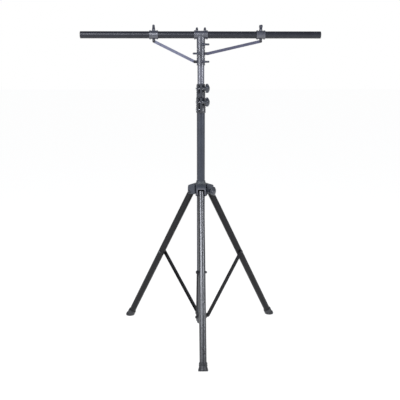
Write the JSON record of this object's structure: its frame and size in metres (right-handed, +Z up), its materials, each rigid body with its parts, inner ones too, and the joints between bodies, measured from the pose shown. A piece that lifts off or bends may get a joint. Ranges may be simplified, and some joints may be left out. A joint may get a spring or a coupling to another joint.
{
  "type": "lighting t bar stand",
  "caption": "Folding lighting stand: telescopic mast on a braced tripod with a sliding leg hub, topped by a T head whose cross bar is propped by struts from sliding collars.",
  "frame": {"origin": "where the mast's axis meets the floor", "axes": "+Z up the mast, +X along the cross bar to the right as seen from the front leg's side, -Y towards the front leg"},
  "size_m": [1.2, 0.7542, 1.6259],
  "materials": {
    "mast_coat": "matte black powder coat",
    "gloss_coat": "gloss black enamel",
    "leg_coat": "satin black powder coat",
    "brace_coat": "matte black powder coat",
    "bar_coat": "satin black powder coat",
    "head_coat": "satin dark grey enamel",
    "strut_coat": "satin dark grey enamel",
    "moulding": "fine-grained black moulding",
    "bush_plastic": "smooth black moulding",
    "cap_plastic": "satin black moulding",
    "knob_plastic": "semi-gloss dark moulding",
    "wing_coat": "dark plated casting",
    "rubber": "moulded black rubber",
    "plated": "bright plated steel"
  },
  "bodies": {
    "mast": {"mast_outer_tube": "mast_coat", "mast_bottom_plug": "cap_plastic", "lower_collar": "moulding", "lower_collar_bolts": "plated", "lower_clamp": "moulding", "lower_clamp_bolts": "plated"},
    "hub": {"leg_hub": "moulding", "hub_bush": "bush_plastic", "hub_bolts": "plated"},
    "hub_lock": {"hub_knob": "knob_plastic"},
    "leg_front": {"leg_front": "leg_coat", "leg_end_front": "bush_plastic", "foot_front": "rubber", "leg_nut_front": "plated"},
    "leg_right": {"leg_right": "leg_coat", "leg_end_right": "bush_plastic", "foot_right": "rubber", "leg_nut_right": "plated"},
    "leg_left": {"leg_left": "leg_coat", "leg_end_left": "bush_plastic", "foot_left": "rubber", "leg_nut_left": "plated"},
    "leg_brace_front": {"leg_brace_front": "brace_coat", "brace_bolt_front": "plated"},
    "leg_brace_right": {"leg_brace_right": "brace_coat", "brace_bolt_right": "plated"},
    "leg_brace_left": {"leg_brace_left": "brace_coat", "brace_bolt_left": "plated"},
    "lower_knob": {"lower_clamp_knob": "knob_plastic"},
    "middle_mast": {"mast_middle_tube": "gloss_coat", "middle_guide": "bush_plastic", "upper_clamp": "moulding", "upper_clamp_bolt": "plated"},
    "upper_knob": {"upper_clamp_knob": "knob_plastic"},
    "inner_mast": {"mast_inner_tube": "gloss_coat", "inner_guide": "bush_plastic"},
    "head": {"tee_head": "head_coat", "bar_left": "bar_coat", "bar_right": "bar_coat", "bar_cap_left": "cap_plastic", "bar_cap_right": "cap_plastic"},
    "tee_screw_left": {"tee_screw_left": "wing_coat"},
    "tee_screw_right": {"tee_screw_right": "wing_coat"},
    "sleeve_screw": {"sleeve_screw": "wing_coat"},
    "lower_brace_collar": {"brace_collar_lower": "head_coat", "lug_nut_lower": "plated"},
    "upper_brace_collar": {"brace_collar_upper": "head_coat", "lug_nut_upper": "plated"},
    "collar_screw_lower": {"collar_screw_lower": "wing_coat"},
    "collar_screw_upper": {"collar_screw_upper": "wing_coat"},
    "saddle_left": {"saddle_left": "head_coat", "saddle_rivet_left": "plated"},
    "saddle_right": {"saddle_right": "head_coat", "saddle_rivet_right": "plated"},
    "saddle_screw_left": {"saddle_screw_left": "wing_coat"},
    "saddle_screw_right": {"saddle_screw_right": "wing_coat"},
    "strut_left": {"strut_left": "strut_coat", "strut_bolt_left": "plated"},
    "strut_right": {"strut_right": "strut_coat", "strut_bolt_right": "plated"}
  },
  "joints": [
    {"name": "hub_slide", "type": "slide", "parent": "mast", "child": "hub", "axis": [0, 0, 1], "range_m": [0, 0.11088]},
    {"name": "hub_lock_turn", "type": "hinge", "parent": "hub", "child": "hub_lock", "pos_m": [0.05196, -0.03, 0.788], "axis": [0.866, -0.5, 0], "range_deg": [0, 540]},
    {"name": "leg_front_fold", "type": "hinge", "parent": "hub", "child": "leg_front", "pos_m": [0, -0.0565, 0.776], "axis": [1, 0, 0], "range_deg": [0, 28.07]},
    {"name": "leg_right_fold", "type": "hinge", "parent": "hub", "child": "leg_right", "pos_m": [0.04893, 0.02825, 0.776], "axis": [-0.5, 0.866, 0], "range_deg": [0, 28.07]},
    {"name": "leg_left_fold", "type": "hinge", "parent": "hub", "child": "leg_left", "pos_m": [-0.04893, 0.02825, 0.776], "axis": [-0.5, -0.866, 0], "range_deg": [0, 28.07]},
    {"name": "leg_brace_front_fold", "type": "hinge", "parent": "mast", "child": "leg_brace_front", "pos_m": [0, -0.032, 0.09], "axis": [1, 0, 0], "range_deg": [-29.64, 0]},
    {"name": "leg_brace_right_fold", "type": "hinge", "parent": "mast", "child": "leg_brace_right", "pos_m": [0.02771, 0.016, 0.09], "axis": [-0.5, 0.866, 0], "range_deg": [-29.64, 0]},
    {"name": "leg_brace_left_fold", "type": "hinge", "parent": "mast", "child": "leg_brace_left", "pos_m": [-0.02771, 0.016, 0.09], "axis": [-0.5, -0.866, 0], "range_deg": [-29.64, 0]},
    {"name": "lower_knob_turn", "type": "hinge", "parent": "mast", "child": "lower_knob", "pos_m": [0.03, -0.032, 1.246], "axis": [1, 0, 0], "range_deg": [0, 540]},
    {"name": "middle_slide", "type": "slide", "parent": "mast", "child": "middle_mast", "axis": [0, 0, 1], "range_m": [0, 0.9]},
    {"name": "upper_knob_turn", "type": "hinge", "parent": "middle_mast", "child": "upper_knob", "pos_m": [0.03, -0.032, 1.314], "axis": [1, 0, 0], "range_deg": [0, 540]},
    {"name": "inner_slide", "type": "slide", "parent": "middle_mast", "child": "inner_mast", "axis": [0, 0, 1], "range_m": [-0.05, 0.7]},
    {"name": "head_swivel", "type": "hinge", "parent": "inner_mast", "child": "head", "pos_m": [0, 0, 1.53], "axis": [0, 0, 1], "continuous": true},
    {"name": "tee_screw_left_turn", "type": "hinge", "parent": "head", "child": "tee_screw_left", "pos_m": [-0.02, 0, 1.61], "axis": [0, 0, 1], "range_deg": [0, 450]},
    {"name": "tee_screw_right_turn", "type": "hinge", "parent": "head", "child": "tee_screw_right", "pos_m": [0.02, 0, 1.61], "axis": [0, 0, 1], "range_deg": [0, 450]},
    {"name": "sleeve_screw_turn", "type": "hinge", "parent": "head", "child": "sleeve_screw", "pos_m": [0.02, -0.03464, 1.53], "axis": [0.5, -0.866, 0], "range_deg": [0, 450]},
    {"name": "lower_collar_slide", "type": "slide", "parent": "head", "child": "lower_brace_collar", "axis": [0, 0, -1], "range_m": [0, 0.03]},
    {"name": "upper_collar_slide", "type": "slide", "parent": "head", "child": "upper_brace_collar", "axis": [0, 0, -1], "range_m": [0, 0.03002]},
    {"name": "collar_screw_lower_turn", "type": "hinge", "parent": "lower_brace_collar", "child": "collar_screw_lower", "pos_m": [0.02, -0.03464, 1.446], "axis": [0.5, -0.866, 0], "range_deg": [0, 450]},
    {"name": "collar_screw_upper_turn", "type": "hinge", "parent": "upper_brace_collar", "child": "collar_screw_upper", "pos_m": [-0.02, -0.03464, 1.486], "axis": [-0.5, -0.866, 0], "range_deg": [0, 450]},
    {"name": "saddle_left_slide", "type": "slide", "parent": "head", "child": "saddle_left", "axis": [1, 0, 0], "range_m": [0, 0.0177]},
    {"name": "saddle_screw_left_turn", "type": "hinge", "parent": "saddle_left", "child": "saddle_screw_left", "pos_m": [-0.235, 0, 1.615], "axis": [0, 0, 1], "range_deg": [0, 450]},
    {"name": "strut_left_swing", "type": "hinge", "parent": "saddle_left", "child": "strut_left", "pos_m": [-0.235, -0.0043, 1.546], "axis": [0, 1, 0], "range_deg": [0, 8.81]},
    {"name": "saddle_right_slide", "type": "slide", "parent": "head", "child": "saddle_right", "axis": [-1, 0, 0], "range_m": [0, 0.00867]},
    {"name": "saddle_screw_right_turn", "type": "hinge", "parent": "saddle_right", "child": "saddle_screw_right", "pos_m": [0.299, 0, 1.615], "axis": [0, 0, 1], "range_deg": [0, 450]},
    {"name": "strut_right_swing", "type": "hinge", "parent": "saddle_right", "child": "strut_right", "pos_m": [0.299, -0.0043, 1.546], "axis": [0, 1, 0], "range_deg": [-6.62, 0]}
  ],
  "couplings": [
    {"joint": "leg_front_fold", "follows": "hub_slide", "rad_per_m": 4.4155},
    {"joint": "leg_right_fold", "follows": "hub_slide", "rad_per_m": 4.4155},
    {"joint": "leg_left_fold", "follows": "hub_slide", "rad_per_m": 4.4155},
    {"joint": "leg_brace_front_fold", "follows": "hub_slide", "rad_per_m": -4.6617},
    {"joint": "leg_brace_right_fold", "follows": "hub_slide", "rad_per_m": -4.6617},
    {"joint": "leg_brace_left_fold", "follows": "hub_slide", "rad_per_m": -4.6617},
    {"joint": "upper_collar_slide", "follows": "lower_collar_slide", "ratio": 1},
    {"joint": "saddle_left_slide", "follows": "lower_collar_slide", "ratio": 0.58926},
    {"joint": "strut_left_swing", "follows": "lower_collar_slide", "rad_per_m": 5.1139},
    {"joint": "saddle_right_slide", "follows": "lower_collar_slide", "ratio": 0.28827},
    {"joint": "strut_right_swing", "follows": "lower_collar_slide", "rad_per_m": -3.8393}
  ]
}
